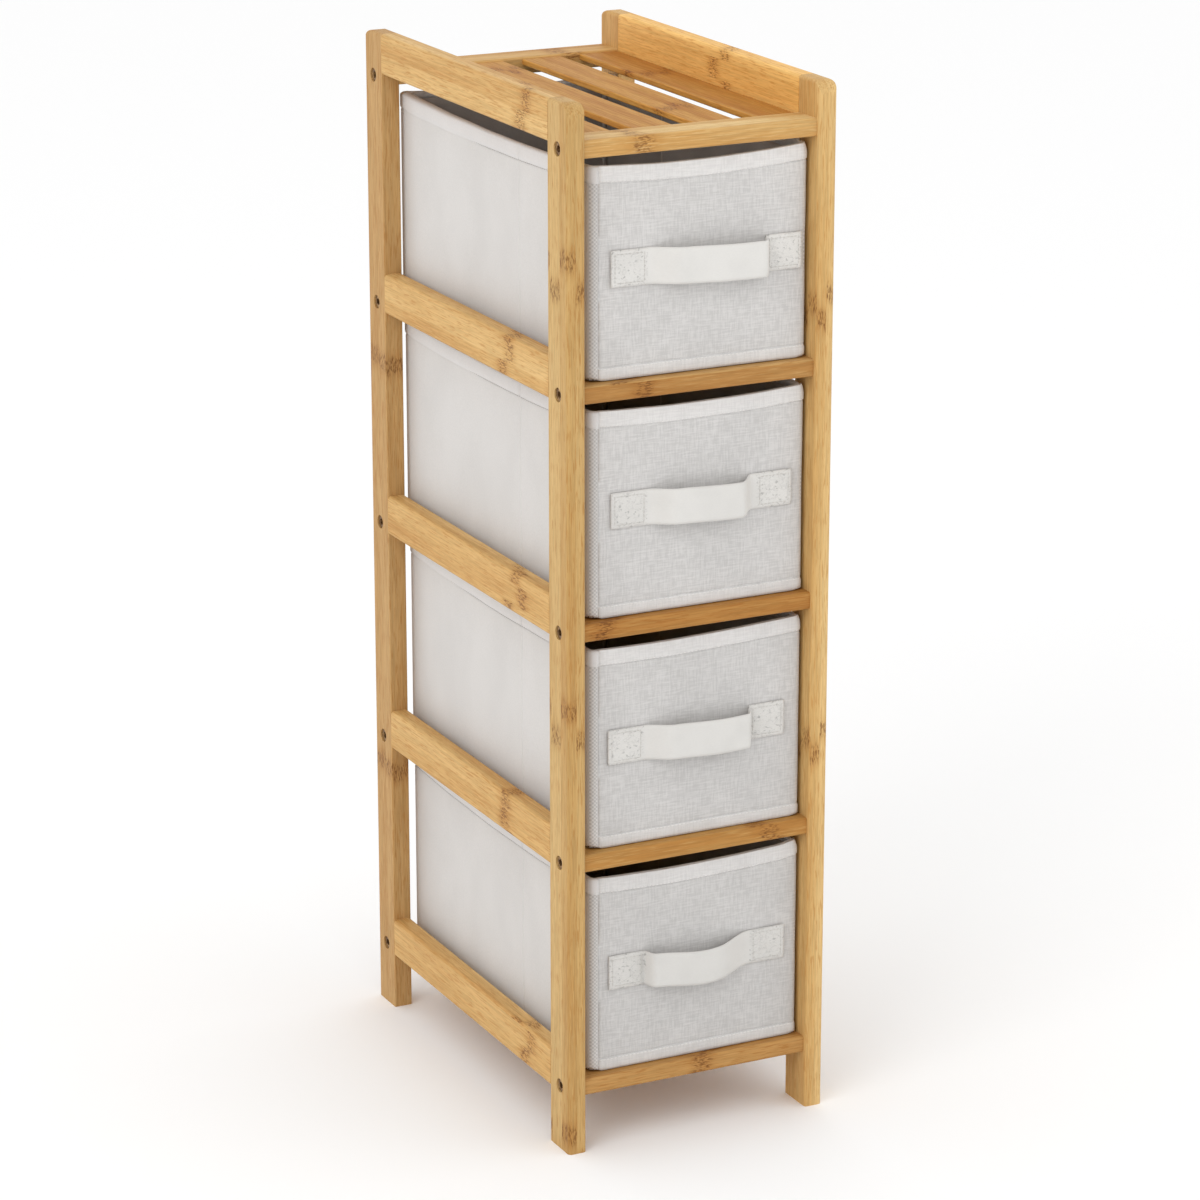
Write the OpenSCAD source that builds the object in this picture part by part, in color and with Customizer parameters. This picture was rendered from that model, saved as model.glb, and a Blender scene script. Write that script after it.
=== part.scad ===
// Narrow bamboo storage tower: two ladder-like side frames joined by five slatted shelves, with four
// open-topped fabric drawers between the shelves. Millimetres. The front faces -Y and +Z is up. The origin
// is on the floor, midway between the posts.

/* [Tower] */
// Height of the side frames
tower_h = 810; // [700:1:950]
// Width over the outer faces of the side frames
tower_w = 220; // [190:1:320]
// Depth over the front and back posts
tower_d = 360; // [300:1:460]
// Floor to the underside of the lowest shelf
foot_h = 45; // [30:1:120]

/* [Bamboo sections] */
// Thickness of the posts and side rails, across the tower
frame_t = 15; // [14:0.5:20]
// Depth of a post, front to back
post_d = 32; // [31:0.5:40]
// Height of a side rail
side_rail_h = 32; // [29:0.5:40]
// Underside of the top shelf to the underside of the top side rails
top_rail_lift = 9; // [0:0.5:10]
// Thickness of the front and back cross rails
cross_t = 13.5; // [13:0.5:16]
// How far the cross rails stand back behind the faces of the posts
cross_setback = 3.5; // [1:0.5:4]
// Rounding of the edges of posts and rails
edge_r = 3; // [1.5:0.5:4]
// Rounding where a post butts against its rails
arris_r = 0.8; // [0.4:0.1:1.5]
// Rounding of the top front and top back corners of the side frames
corner_r = 12; // [4:1:18]

/* [Shelf slats] */
// Thickness of a slat
slat_t = 5; // [4:0.5:7]
// Top of the cross rails to the top of the slats
slat_drop = 1.5; // [1:0.5:3]
// Gap between neighbouring slats
slat_gap = 17; // [8:0.5:24]
// Gap between the left-hand slat and the side frame
slat_gap_left = 5; // [0.5:0.5:12]
// Gap between the right-hand slat and the side frame
slat_gap_right = 0.5; // [0.3:0.1:12]
// Rounding of a slat's edges
slat_r = 1.25; // [0.5:0.25:1.75]
// How far the tenon at each end of a slat reaches into the cross rail
tenon_len = 6; // [4:0.5:8]
// Thickness of a tenon
tenon_t = 3.5; // [2.5:0.5:4]
// How much narrower a tenon is than its slat, at each side
tenon_shoulder = 3; // [1.5:0.5:6]

/* [Bolts and dowels] */
// Bolt shank diameter
bolt_d = 6; // [5:0.5:6]
// Bolt head diameter
bolt_head_d = 10; // [8.5:0.5:10.5]
// Bolt head height
bolt_head_h = 5.5; // [4:0.5:6]
// Width across the flats of the hexagon socket
socket_af = 5; // [4:0.5:5.5]
// Depth of the hexagon socket
socket_depth = 3; // [2:0.5:3.5]
// How far a bolt head lies below the face of the post
head_sink = 1.2; // [0.5:0.1:1.5]
// Radial room round a bolt's head
head_room = 0.5; // [0.3:0.1:0.6]
// Radial room round a bolt's shank
shank_room = 0.3; // [0.2:0.1:0.5]
// How far a bolt reaches past the middle of its barrel nut
bolt_end = 8; // [6:0.5:12]
// Barrel nut diameter
nut_d = 9.8; // [8:0.1:10]
// Wood left above a barrel nut
nut_roof = 1.5; // [1:0.5:3]
// End of a cross rail to the axis of its barrel nut
nut_inset = 30; // [26:1:45]
// Wooden dowel diameter
dowel_d = 6; // [5:0.5:6]
// Wooden dowel length
dowel_len = 25; // [20:1:25]
// Part of a dowel that sits in the post
dowel_first = 11; // [9:0.5:12]
// Room round dowels, tenons and barrel nuts
fit = 0.1; // [0.05:0.05:0.2]
// Room past the end of a dowel, a tenon or a bolt
end_room = 0.5; // [0.3:0.1:1]

/* [Drawers] */
// Faces of the front posts to the front of a drawer
drawer_front_setback = 12.5; // [12.5:0.5:25]
// Faces of the back posts to the back of a drawer
drawer_back_setback = 22.5; // [5:0.5:28]
// Left-hand gap between a drawer and the side frame
drawer_gap_left = 8.5; // [2:0.5:12]
// Right-hand gap between a drawer and the side frame
drawer_gap_right = 2.5; // [2:0.5:12]
// Gap between a drawer and the shelf above it
drawer_gap_top = 6.2; // [3:0.2:20]
// Gap below a drawer
soft_gap = 0.3; // [0.3:0.1:0.5]
// Rounding of a drawer's upright corners
drawer_r = 3.5; // [3.5:0.5:14]
// How far the long top edges sag at their middle
side_sag = 5; // [1:0.5:10]
// How far the front and back top edges sag at their middle
front_sag = 2.5; // [0.5:0.5:8]
// Outer fabric of the sides, back and bottom
cover_t = 1.2; // [0.8:0.1:2]
// Front fabric
panel_t = 0.8; // [0.5:0.1:1.2]
// Left-hand edge of a drawer to the front fabric, which goes round the right-hand corner
panel_left = 7.5; // [6:0.5:20]
// How far the folded hems of the front fabric stand proud of it
front_hem_t = 0.5; // [0.2:0.1:0.8]
// Height of the hem along the front's top edge
front_hem_top = 12; // [6:0.5:20]
// Height of the hem along the front's bottom edge
front_hem_bottom = 9.5; // [6:0.5:20]
// Stiffening boards inside the walls
board_t = 2; // [1.5:0.1:3]
// Inner lining
lining_t = 0.8; // [0.5:0.1:1.5]
// Solid folded hem above the stiffening boards, at the lowest point of the sag
hem_h = 2; // [1:0.5:8]
// Loose base board in the bottom of a drawer
base_t = 3; // [2:0.5:5]
// Room round the loose base board
base_room = 1; // [0.3:0.1:1.5]

/* [Handle straps] */
// Width of the webbing, up and down
strap_w = 27.5; // [20:0.5:40]
// Thickness of the webbing
strap_t = 1.6; // [1:0.1:2.5]
// Length from end to end along the front
strap_len = 152; // [130:1:164]
// Length of each sewn end
patch_len = 30; // [20:1:40]
// Clear room for the fingers behind the strap
strap_bow = 10.4; // [8:0.2:10.6]
// Length over which a strap lifts off the front at its left, from the bottom drawer up
strap_ramp_left = [6, 20, 18, 22]; // [4:1:30]
// Length over which a strap comes back to the front at its right, from the bottom drawer up
strap_ramp_right = [28, 9, 9, 6]; // [4:1:30]
// Middle of the strap above the bottom of its drawer
strap_height = 81; // [50:1:120]
// Middle of the strap to the right of its drawer's middle
strap_shift = 3; // [0:1:4]

/* [Hidden] */
$fn = 48;
SAG_FN = 1440;
DRAWERS = 4;
LEFT = -1;
RIGHT = 1;
FRONT = -1;
BACK = 1;
STRAP_STEPS = 44;
MIN_WOOD = 1.25;
OVER = 1;

BAMBOO = [0.80, 0.63, 0.40];
DARK_BAMBOO = [0.72, 0.54, 0.32];
BEECH = [0.85, 0.74, 0.55];
STEEL = [0.38, 0.33, 0.28];
COVER = [0.86, 0.84, 0.83];
LINEN = [0.82, 0.81, 0.79];
LINING = [0.34, 0.31, 0.28];
BOARD = [0.58, 0.54, 0.48];
WEBBING = [0.90, 0.89, 0.87];

// Frame sizes
bay_w = tower_w - 2 * frame_t;
rail_len = tower_d - 2 * post_d;
cross_d = post_d - cross_setback;
top_rail_z = tower_h - side_rail_h;
level_pitch = (top_rail_z - top_rail_lift - foot_h) / DRAWERS;
post_x = (tower_w - frame_t) / 2;
post_y = (tower_d - post_d) / 2;
cross_y = tower_d / 2 - cross_setback - cross_d / 2;
slat_w = (bay_w - slat_gap_left - slat_gap_right - 3 * slat_gap) / 4;
slat_z = cross_t - slat_drop - slat_t / 2;
tenon_w = slat_w - 2 * tenon_shoulder;

// Fastener sizes and places
bolt_z = cross_t / 2;
bolt_off = cross_y - post_y;
counterbore = head_sink + bolt_head_h;
bolt_len = frame_t - counterbore + nut_inset + bolt_end;
nut_len = cross_t - nut_roof - end_room;
side_dowel_z = [
    bolt_z + bolt_head_d / 2 + head_room + MIN_WOOD + dowel_d / 2,
    side_rail_h - 2 * dowel_d / 2 - end_room
];

// Drawer sizes
drawer_w = bay_w - drawer_gap_left - drawer_gap_right;
drawer_d = tower_d - drawer_front_setback - drawer_back_setback;
drawer_h = level_pitch - cross_t - soft_gap - drawer_gap_top;
drawer_x = (drawer_gap_left - drawer_gap_right) / 2;
drawer_y = (drawer_front_setback - drawer_back_setback) / 2;
lining_inset = cover_t + board_t + 2 * fit;
mouth_inset = lining_inset + lining_t;
board_end = max(drawer_r, lining_inset + fit);
board_top = drawer_h - side_sag - hem_h;
strap_z = strap_height - strap_w / 2;

function level_z(i) = foot_h + i * level_pitch;
function side_rail_z(i) = i < DRAWERS ? level_z(i) : top_rail_z;
function slat_x(k) = -bay_w / 2 + slat_gap_left + slat_w / 2 + k * (slat_w + slat_gap);
function end_name(end) = end == FRONT ? "front" : "back";
function side_name(side) = side == LEFT ? "left" : "right";
function drawer_name(i, piece) = str("drawer_", i + 1, "_", piece);

// Radius of the circle whose arc sinks by sag over a chord
function sag_radius(chord, sag) = (chord * chord / 4 + sag * sag) / (2 * sag);
function smooth(t) = let (u = min(1, max(0, t))) u * u * (3 - 2 * u);

// Distance of a strap's back face from the drawer's front, at x from the strap's middle
function strap_lift(i, x) =
    let (free = strap_len / 2 - patch_len)
    strap_bow * smooth((x + free) / strap_ramp_left[i]) * smooth((free - x) / strap_ramp_right[i]);

// ---- shared shapes ----

module rounded_rect(w, d, r) {
    square([w - 2 * r, d], center = true);
    square([w, d - 2 * r], center = true);
    for (x = [-1, 1], y = [-1, 1])
        translate([x * (w / 2 - r), y * (d / 2 - r)]) circle(r);
}

// Along +X from the origin
module rod_x(d, len) {
    rotate([0, 90, 0]) cylinder(d = d, h = len);
}

// Along +Y from the origin
module rod_y(d, len) {
    rotate([-90, 0, 0]) cylinder(d = d, h = len);
}

// ---- side frames ----

// Outer front edges are rounded, and edges that meet rails only eased
module post_section() {
    intersection() {
        rounded_rect(frame_t, post_d, edge_r);
        translate([-frame_t / 2, -post_d / 2]) square([frame_t, post_d / 2]);
    }
    intersection() {
        rounded_rect(frame_t, post_d, arris_r);
        translate([-frame_t / 2, 0]) square([frame_t, post_d / 2]);
    }
}

// Side view of a post, with its rounded top corner
module post_outline() {
    translate([-post_d / 2, 0]) square([post_d, tower_h - corner_r]);
    translate([-post_d / 2 + corner_r, 0]) square([post_d - corner_r, tower_h]);
    translate([-post_d / 2 + corner_r, tower_h - corner_r]) circle(corner_r, $fn = 96);
}

module post_blank() {
    intersection() {
        linear_extrude(tower_h) post_section();
        rotate([90, 0, 90]) linear_extrude(frame_t, center = true) post_outline();
        translate([0, 0, tower_h / 2 - edge_r]) rotate([90, 0, 0])
            linear_extrude(post_d, center = true) rounded_rect(frame_t, tower_h + 2 * edge_r, edge_r);
    }
}

// Bolt hole with its counterbore, at one shelf
module post_shelf_hole() {
    translate([-frame_t / 2 - OVER, 0, bolt_z]) {
        rod_x(bolt_d + 2 * shank_room, frame_t + 2 * OVER);
        rod_x(bolt_head_d + 2 * head_room, counterbore + OVER);
    }
}

// Dowel holes for one side rail
module post_rail_holes() {
    for (z = side_dowel_z)
        translate([0, post_d / 2 - dowel_first - end_room, z])
            rod_y(dowel_d + 2 * fit, dowel_first + end_room + OVER);
}

// The front left post
module post() {
    difference() {
        post_blank();
        for (i = [0:DRAWERS]) {
            translate([0, 0, level_z(i)]) post_shelf_hole();
            translate([0, 0, side_rail_z(i)]) post_rail_holes();
        }
    }
}

module placed_post(side, end) {
    color(BAMBOO)
    translate([side * post_x, end * post_y, 0])
        mirror([side == RIGHT ? 1 : 0, 0, 0]) mirror([0, end == BACK ? 1 : 0, 0]) post();
}

module side_rail(side, i) {
    color(i < DRAWERS ? BAMBOO : DARK_BAMBOO)
    translate([side * post_x, 0, side_rail_z(i)])
        difference() {
            translate([0, 0, side_rail_h / 2]) rotate([90, 0, 0])
                linear_extrude(rail_len, center = true) rounded_rect(frame_t, side_rail_h, edge_r);
            for (end = [FRONT, BACK], z = side_dowel_z)
                mirror([0, end == FRONT ? 0 : 1, 0])
                    translate([0, -rail_len / 2 - OVER, z])
                        rod_y(dowel_d + 2 * fit, OVER + dowel_len - dowel_first + end_room);
        }
}

// ---- shelves ----

// A front cross rail about its own middle, on its underside
module cross_rail_blank() {
    translate([0, 0, cross_t / 2]) rotate([90, 0, 90])
        linear_extrude(bay_w, center = true) rounded_rect(cross_d, cross_t, edge_r - arris_r);
}

module cross_rail_end_holes() {
    translate([-bay_w / 2 - OVER, bolt_off, bolt_z])
        rod_x(bolt_d + 2 * shank_room, OVER + nut_inset + bolt_end + end_room);
    translate([-bay_w / 2 + nut_inset, bolt_off, -OVER])
        cylinder(d = nut_d + 2 * fit, h = OVER + nut_len + end_room);
}

module cross_rail(end, i) {
    color(BAMBOO)
    translate([0, end * cross_y, level_z(i)])
        mirror([0, end == BACK ? 1 : 0, 0])
            difference() {
                cross_rail_blank();
                for (side = [LEFT, RIGHT])
                    mirror([side == RIGHT ? 1 : 0, 0, 0]) cross_rail_end_holes();
                for (k = [0:3])
                    translate([slat_x(k), cross_d / 2 - tenon_len - end_room, slat_z])
                        bar_y(tenon_w + 2 * fit, tenon_t + 2 * fit, tenon_len + end_room + OVER);
            }
}

// A bar along +Y with the rounded edges of a slat
module bar_y(w, t, len) {
    rotate([-90, 0, 0]) linear_extrude(len) rounded_rect(w, t, slat_r);
}

// A slat with a tenon at each end
module slat(k, i) {
    translate([slat_x(k), -rail_len / 2, level_z(i) + slat_z]) {
        bar_y(slat_w, slat_t, rail_len);
        translate([0, -tenon_len, 0]) bar_y(tenon_w, tenon_t, rail_len + 2 * tenon_len);
    }
}

module shelf_slats(i) {
    color(DARK_BAMBOO) for (k = [0:3]) slat(k, i);
}

module top_shelf_slat(k) {
    color(DARK_BAMBOO) slat(k, DRAWERS);
}

// ---- fasteners ----

// Repeats its children at the joint of each post with each shelf, drawn for the front left post
module at_shelf_joints() {
    for (side = [LEFT, RIGHT], end = [FRONT, BACK], i = [0:DRAWERS])
        translate([side * post_x, end * post_y, level_z(i)])
            mirror([side == RIGHT ? 1 : 0, 0, 0]) mirror([0, end == BACK ? 1 : 0, 0]) children();
}

module bolt() {
    translate([-frame_t / 2 + head_sink, 0, bolt_z])
        difference() {
            union() {
                rod_x(bolt_head_d, bolt_head_h);
                rod_x(bolt_d, bolt_head_h + bolt_len);
            }
            translate([-OVER, 0, 0]) rotate([0, 90, 0])
                cylinder(d = socket_af / cos(30), h = socket_depth + OVER, $fn = 6);
        }
}

module cross_bolts() {
    color(STEEL) at_shelf_joints() bolt();
}

module barrel_nuts() {
    color(STEEL) at_shelf_joints()
        difference() {
            translate([frame_t / 2 + nut_inset, 0, end_room]) cylinder(d = nut_d, h = nut_len);
            translate([frame_t / 2, 0, bolt_z]) rod_x(bolt_d + fit, nut_inset + nut_d);
        }
}

module side_frame_dowels() {
    color(BEECH)
    for (side = [LEFT, RIGHT], end = [FRONT, BACK], i = [0:DRAWERS], z = side_dowel_z)
        translate([side * post_x, 0, side_rail_z(i) + z])
            mirror([0, end == BACK ? 1 : 0, 0])
                translate([0, -rail_len / 2 - dowel_first, 0]) rod_y(dowel_d, dowel_len);
}

// ---- drawers ----

// Places a drawer drawn about its own middle, on its underside
module at_drawer(i) {
    translate([drawer_x, drawer_y, level_z(i) + cross_t + soft_gap]) children();
}

// The drawer's outline drawn in by some distance
module drawer_outline(inset) {
    rounded_rect(drawer_w - 2 * inset, drawer_d - 2 * inset, max(drawer_r - inset, lining_t));
}

// Everything above the sagging front and back edges
module above_front_sag() {
    front_r = sag_radius(drawer_w, front_sag);
    translate([0, -drawer_d / 2 - OVER, drawer_h - front_sag + front_r])
        rotate([-90, 0, 0]) cylinder(r = front_r, h = drawer_d + 2 * OVER, $fn = SAG_FN);
}

// Everything above the sagging top edges
module above_sag() {
    side_r = sag_radius(drawer_d, side_sag);
    translate([-drawer_w / 2 - OVER, 0, drawer_h - side_sag + side_r])
        rotate([0, 90, 0]) cylinder(r = side_r, h = drawer_w + 2 * OVER, $fn = SAG_FN);
    above_front_sag();
}

// The front fabric in plan: across the front and round the right-hand corner
module panel_plan(proud) {
    intersection() {
        difference() {
            drawer_outline(-proud);
            drawer_outline(panel_t);
        }
        translate([-drawer_w / 2 + panel_left, -drawer_d / 2 - OVER]) square([drawer_w, drawer_r + OVER]);
    }
}

module drawer_cover(i) {
    color(COVER) at_drawer(i)
        difference() {
            linear_extrude(drawer_h) difference() {
                drawer_outline(0);
                panel_plan(0);
            }
            translate([0, 0, cover_t]) linear_extrude(board_top - cover_t + fit)
                drawer_outline(cover_t);
            translate([0, 0, board_top]) linear_extrude(drawer_h) drawer_outline(mouth_inset);
            above_sag();
        }
}

// The front fabric, doubled along its top and bottom edges where it is folded over
module drawer_front_panel(i) {
    color(LINEN) at_drawer(i)
        difference() {
            union() {
                linear_extrude(drawer_h) panel_plan(0);
                linear_extrude(front_hem_bottom) panel_plan(front_hem_t);
                intersection() {
                    linear_extrude(drawer_h) panel_plan(front_hem_t);
                    translate([0, 0, -front_hem_top]) above_front_sag();
                }
            }
            above_sag();
        }
}

// Four separate boards that stand between the outer fabric and the lining
module drawer_wall_boards(i) {
    board_h = board_top - cover_t;
    inset = cover_t + fit + board_t / 2;
    color(BOARD) at_drawer(i) translate([0, 0, cover_t + board_h / 2]) {
        for (side = [LEFT, RIGHT])
            translate([side * (drawer_w / 2 - inset), 0, 0])
                cube([board_t, drawer_d - 2 * board_end, board_h], center = true);
        for (end = [FRONT, BACK])
            translate([0, end * (drawer_d / 2 - inset), 0])
                cube([drawer_w - 2 * board_end, board_t, board_h], center = true);
    }
}

module drawer_lining(i) {
    color(LINING) at_drawer(i) translate([0, 0, cover_t])
        difference() {
            linear_extrude(board_top - cover_t) drawer_outline(lining_inset);
            translate([0, 0, lining_t]) linear_extrude(drawer_h) drawer_outline(mouth_inset);
        }
}

module drawer_base_board(i) {
    color(BOARD) at_drawer(i) translate([0, 0, cover_t + lining_t])
        linear_extrude(base_t) drawer_outline(mouth_inset + base_room);
}

// The strap lies on the front at both ends and stands off it between them
module drawer_handle_strap(i) {
    stations = [for (k = [0:STRAP_STEPS]) strap_len * (k / STRAP_STEPS - 0.5)];
    color(WEBBING) at_drawer(i) translate([strap_shift, -drawer_d / 2, strap_z])
        linear_extrude(strap_w) polygon([
            for (x = stations) [x, -strap_lift(i, x) - strap_t],
            for (k = [STRAP_STEPS:-1:0]) [stations[k], -strap_lift(i, stations[k])]
        ]);
}

// ---- nodes ----

for (side = [LEFT, RIGHT]) {
    for (end = [FRONT, BACK])
        placed_post(side, end);
    side_rail(side, DRAWERS);
    for (i = [0:DRAWERS - 1])
        side_rail(side, i);
}
for (end = [FRONT, BACK], i = [0:DRAWERS])
    cross_rail(end, i);
for (i = [0:DRAWERS - 1])
    shelf_slats(i);
for (k = [0:3])
    top_shelf_slat(k);
cross_bolts();
barrel_nuts();
side_frame_dowels();
for (i = [0:DRAWERS - 1]) {
    drawer_cover(i);
    drawer_front_panel(i);
    drawer_wall_boards(i);
    drawer_base_board(i);
    drawer_lining(i);
    drawer_handle_strap(i);
}
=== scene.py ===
"""Narrow bamboo storage tower with four fabric drawers, dressed for rendering.

Lengths are in metres, the front is towards -Y, and +Z is up.
"""

import math

import bmesh
import bpy
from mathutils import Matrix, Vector, noise

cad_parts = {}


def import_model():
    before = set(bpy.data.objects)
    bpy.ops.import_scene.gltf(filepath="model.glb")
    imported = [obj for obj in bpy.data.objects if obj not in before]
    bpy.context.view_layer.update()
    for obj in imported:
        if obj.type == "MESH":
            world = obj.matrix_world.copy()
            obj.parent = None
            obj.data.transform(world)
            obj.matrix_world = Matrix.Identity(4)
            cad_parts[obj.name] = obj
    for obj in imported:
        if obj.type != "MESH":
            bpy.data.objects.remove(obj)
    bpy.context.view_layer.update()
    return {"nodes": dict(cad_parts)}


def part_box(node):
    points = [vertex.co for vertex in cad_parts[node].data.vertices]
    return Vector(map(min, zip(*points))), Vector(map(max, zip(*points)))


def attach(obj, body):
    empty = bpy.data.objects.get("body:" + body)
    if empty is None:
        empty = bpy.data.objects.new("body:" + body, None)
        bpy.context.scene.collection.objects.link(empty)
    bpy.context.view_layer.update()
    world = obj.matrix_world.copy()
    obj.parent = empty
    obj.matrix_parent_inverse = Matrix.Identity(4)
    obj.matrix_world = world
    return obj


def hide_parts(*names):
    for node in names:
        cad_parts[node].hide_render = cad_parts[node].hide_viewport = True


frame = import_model()

MM = 0.001
DRAWERS = (1, 2, 3, 4)

# Thickness of a drawer's linen front, cover and lining, and of its whole wall without the linen
PANEL_T = 0.8 * MM
COVER_T = 1.2 * MM
LINING_T = 0.8 * MM
WALL_T = 4.2 * MM
# How far in front of the cover the strap and the front's stitches lie
STAND_OFF = 0.75 * MM
# Radius of a drawer's upright corners
CORNER_R = 3.5 * MM
# The front's left-hand corner, where the cloth isn't stiffened by the linen
SOFT_CORNER_R = 5.5 * MM
# Where the linen starts, to the right of the drawer's left side
PANEL_LEFT_INSET = 7.5 * MM
# The upright seam in the left side, and where the cloth bends across it, in millimetres
SEAM_FROM_FRONT = 116.0 * MM
SEAM_POINTS = (-3.6, -2.4, -1.2, 0.0, 0.8, 1.6, 2.6, 3.8)
# The outline's other points keep this far from the seam
SEAM_ROOM = 5.5 * MM
# How far behind the seam the ends of the side's hem meet
HEM_JOIN_PAST_SEAM = 0.8 * MM
# The lining's seam in the right wall, and how far its seams in the back wall are from the side walls
RIGHT_SEAM_FROM_FRONT = 225.0 * MM
CORNER_SEAM_IN = 3.4 * MM
# Length over which the cover sinks beneath the linen
SINK_LEN = 1.2 * MM
# The hems: how far the front's ones stand out, and the height of each
HEM_T = 0.5 * MM
HEM_TOP = 12.0 * MM
HEM_BOTTOM = 9.5 * MM
SIDE_HEM = 12.5 * MM

# Underside of the lowest drawer, and the rise from one drawer to the next
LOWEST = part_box("drawer_1_cover")[0][2]
DRAWER_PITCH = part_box("drawer_2_cover")[0][2] - LOWEST
# Height of a drawer at its corners, and of the boards and the lining in it
DRAWER_H = 161.0 * MM
BOARD_TOP = 154.0 * MM

# From one stitch to the next, a stitch's length, and the thread's radius
STITCH_PITCH = 3.2 * MM
STITCH_LEN = 2.3 * MM
THREAD_R = 0.22 * MM


# ---------------------------------------------------------------- node helpers


def new_material(name):
    """(material, nodes, links, principled shader) with the rest of the tree empty."""
    mat = bpy.data.materials.new(name)
    mat.use_nodes = True
    nodes, links = mat.node_tree.nodes, mat.node_tree.links
    nodes.clear()
    out = nodes.new("ShaderNodeOutputMaterial")
    shader = nodes.new("ShaderNodeBsdfPrincipled")
    links.new(shader.outputs[0], out.inputs[0])
    return mat, nodes, links, shader


class Tree:
    """Short calls for the nodes that the materials share."""

    def __init__(self, nodes, links):
        self.nodes, self.links = nodes, links

    def link(self, value, socket):
        if isinstance(value, (int, float, tuple, list)):
            socket.default_value = value
        else:
            self.links.new(value, socket)

    def math(self, op, a, b=0.0):
        n = self.nodes.new("ShaderNodeMath")
        n.operation = op
        for value, socket in zip((a, b), n.inputs):
            self.link(value, socket)
        return n.outputs[0]

    def coordinate(self, kind):
        """x, y and z of one of the object's own coordinates."""
        tex = self.nodes.new("ShaderNodeTexCoord")
        sep = self.nodes.new("ShaderNodeSeparateXYZ")
        self.links.new(tex.outputs[kind], sep.inputs[0])
        return list(sep.outputs)

    def position(self):
        """x, y and z of the surface in the object's own frame, in metres."""
        return self.coordinate("Object")

    def facing_x(self):
        """1 where the surface faces left or right, in the object's own frame."""
        return self.math("ABSOLUTE", self.coordinate("Normal")[0])

    def wave(self, value, length):
        """A sine that repeats after length."""
        return self.math("SINE", self.math("MULTIPLY", value, math.tau / length))

    def vector(self, x, y, z):
        n = self.nodes.new("ShaderNodeCombineXYZ")
        for value, socket in zip((x, y, z), n.inputs):
            self.link(value, socket)
        return n.outputs[0]

    def scaled(self, coords, scales):
        return self.vector(*[self.math("MULTIPLY", c, s) for c, s in zip(coords, scales)])

    def noise(self, vector, scale=1.0, detail=2.0, rough=0.5):
        n = self.nodes.new("ShaderNodeTexNoise")
        self.link(vector, n.inputs["Vector"])
        n.inputs["Scale"].default_value = scale
        n.inputs["Detail"].default_value = detail
        n.inputs["Roughness"].default_value = rough
        return n.outputs[0]

    def random(self, vector):
        n = self.nodes.new("ShaderNodeTexWhiteNoise")
        n.noise_dimensions = "3D"
        self.link(vector, n.inputs["Vector"])
        return n.outputs["Value"]

    def ramp(self, value, low, high, out_low=0.0, out_high=1.0, smooth=True):
        n = self.nodes.new("ShaderNodeMapRange")
        n.interpolation_type = "SMOOTHSTEP" if smooth else "LINEAR"
        for v, socket in zip((value, low, high, out_low, out_high), n.inputs):
            self.link(v, socket)
        return n.outputs[0]

    def mix(self, factor, a, b, blend="MIX"):
        n = self.nodes.new("ShaderNodeMix")
        n.data_type, n.blend_type = "RGBA", blend
        n.clamp_factor = True
        self.link(factor, n.inputs["Factor"])
        for value, socket in ((a, n.inputs[6]), (b, n.inputs[7])):
            self.link(value, socket)
        return n.outputs[2]

    def grey(self, value):
        """A number as a grey colour."""
        return self.vector(value, value, value)

    def painted_shade_by_height(self, colour, z):
        """The colour, a little darker on the lower drawers than on the top one: painted shade, as if less
        light reached them.
        """
        tone = self.ramp(z, LOWEST, LOWEST + 4 * DRAWER_PITCH, 0.90, 1.02, smooth=False)
        return self.mix(1.0, colour, self.grey(tone), "MULTIPLY")

    def bump(self, height, distance, strength=1.0):
        n = self.nodes.new("ShaderNodeBump")
        n.inputs["Strength"].default_value = strength
        n.inputs["Distance"].default_value = distance
        self.link(height, n.inputs["Height"])
        return n.outputs[0]


def rgb(r, g, b):
    """An sRGB colour, 0 to 255, as the linear one that nodes take."""

    def linear(c):
        c /= 255
        return c / 12.92 if c <= 0.04045 else ((c + 0.055) / 1.055) ** 2.4

    return (linear(r), linear(g), linear(b), 1.0)


def dimmed(colour, share):
    """The colour times share, still opaque."""
    return tuple(share * v for v in colour[:3]) + (1.0,)


# ---------------------------------------------------------------- bamboo

BAMBOO_LIGHT = rgb(220, 183, 123)
BAMBOO_MID = rgb(205, 163, 101)
BAMBOO_AMBER = rgb(184, 131, 68)
BAMBOO_NODE = rgb(104, 58, 22)
# The glued strips, and how far apart the cane's joints are in them
STRIP_W = 7.5 * MM
STRIP_H = 16.0 * MM
CULM_NODE_PITCH = 340.0 * MM
# Middle of a cane joint to either of its two dark rings
RING_FROM_JOINT = 4.0 * MM


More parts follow.
